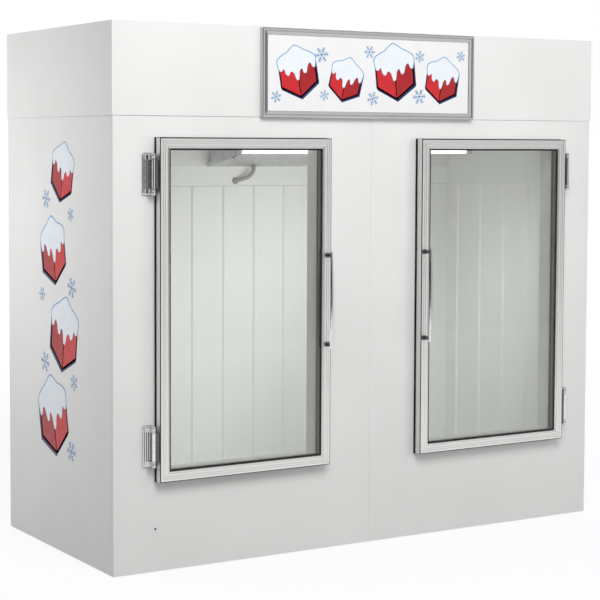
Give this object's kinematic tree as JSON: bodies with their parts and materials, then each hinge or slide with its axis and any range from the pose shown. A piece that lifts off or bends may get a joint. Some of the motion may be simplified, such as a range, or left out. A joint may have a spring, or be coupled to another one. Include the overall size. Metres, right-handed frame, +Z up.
{
  "type": "ice merchandiser freezer",
  "caption": "Upright insulated storage freezer for bagged ice, with framed glass swing doors, chrome pull handles and hinges, a framed sign on its header and a roof-mounted condensing unit.",
  "frame": {"origin": "on the floor, under the middle of the cabinet, on the underside of the centre base rail", "axes": "+X to the right seen from the front, +Y to the rear, +Z up"},
  "size_m": [2.394, 1.1367, 2.146],
  "materials": {
    "white_painted_steel": "satin",
    "liner_steel": "satin",
    "insulated_core": "matte",
    "galvanised_steel": "satin",
    "sign_aluminium": "satin",
    "door_aluminium": "satin",
    "sign_face": "gloss",
    "lamp": "gloss",
    "coil_aluminium": "satin",
    "grey_plastic": "matte",
    "pale_plastic": "satin",
    "black_enamel": "satin",
    "door_glass": "gloss",
    "black_rubber": "matte",
    "chrome": "polished"
  },
  "bodies": {
    "cabinet": {"base_rail_left": "galvanised_steel", "base_rail_centre": "galvanised_steel", "base_rail_right": "galvanised_steel", "roof_panel": "galvanised_steel", "evaporator_housing": "galvanised_steel", "drip_pan": "galvanised_steel", "condenser_base": "galvanised_steel", "control_box": "galvanised_steel", "floor_panel": "insulated_core", "left_wall": "insulated_core", "right_wall": "insulated_core", "rear_wall": "insulated_core", "front_sill": "insulated_core", "front_lintel": "insulated_core", "left_front_post": "insulated_core", "right_front_post": "insulated_core", "centre_post": "insulated_core", "left_side_panel": "white_painted_steel", "right_side_panel": "white_painted_steel", "front_left_panel": "white_painted_steel", "front_right_panel": "white_painted_steel", "rear_panel": "white_painted_steel", "header_front": "white_painted_steel", "header_left": "white_painted_steel", "header_right": "white_painted_steel", "header_rear_grille": "white_painted_steel", "lamp_fixture": "white_painted_steel", "rear_liner": "liner_steel", "left_liner": "liner_steel", "right_liner": "liner_steel", "sign_frame": "sign_aluminium", "sign_panel": "sign_face", "lamp_tube": "lamp", "evaporator_coil": "coil_aluminium", "condenser_coil": "coil_aluminium", "drain_tube": "grey_plastic", "compressor": "black_enamel", "fan_shroud": "black_enamel", "fan_motor": "black_enamel", "receiver_tank": "black_enamel", "left_opening_trim": "pale_plastic", "left_hinge_upper_leaf": "chrome", "left_hinge_lower_leaf": "chrome", "right_opening_trim": "pale_plastic", "right_hinge_upper_leaf": "chrome", "right_hinge_lower_leaf": "chrome"},
    "left_door": {"left_door_frame": "door_aluminium", "left_door_glass": "door_glass", "left_door_gasket": "black_rubber", "left_door_handle": "chrome", "left_door_hinge_upper": "chrome", "left_door_hinge_lower": "chrome"},
    "right_door": {"right_door_frame": "door_aluminium", "right_door_glass": "door_glass", "right_door_gasket": "black_rubber", "right_door_handle": "chrome", "right_door_hinge_upper": "chrome", "right_door_hinge_lower": "chrome"},
    "condenser_fan": {"condenser_fan": "grey_plastic"},
    "evaporator_fan": {"evaporator_fan": "grey_plastic"}
  },
  "joints": [
    {"name": "left_door_swing", "type": "hinge", "parent": "cabinet", "child": "left_door", "pos_m": [-1.036, -0.55, 1.031], "axis": [0, 0, -1], "range_deg": [0, 110]},
    {"name": "right_door_swing", "type": "hinge", "parent": "cabinet", "child": "right_door", "pos_m": [1.036, -0.55, 1.031], "axis": [0, 0, 1], "range_deg": [0, 110]},
    {"name": "condenser_fan_spin", "type": "hinge", "parent": "cabinet", "child": "condenser_fan", "pos_m": [0, 0.4094, 1.9333], "axis": [0, 1, 0], "continuous": true},
    {"name": "evaporator_fan_spin", "type": "hinge", "parent": "cabinet", "child": "evaporator_fan", "pos_m": [0, 0.239, 1.6601], "axis": [0, 1, 0], "continuous": true}
  ]
}
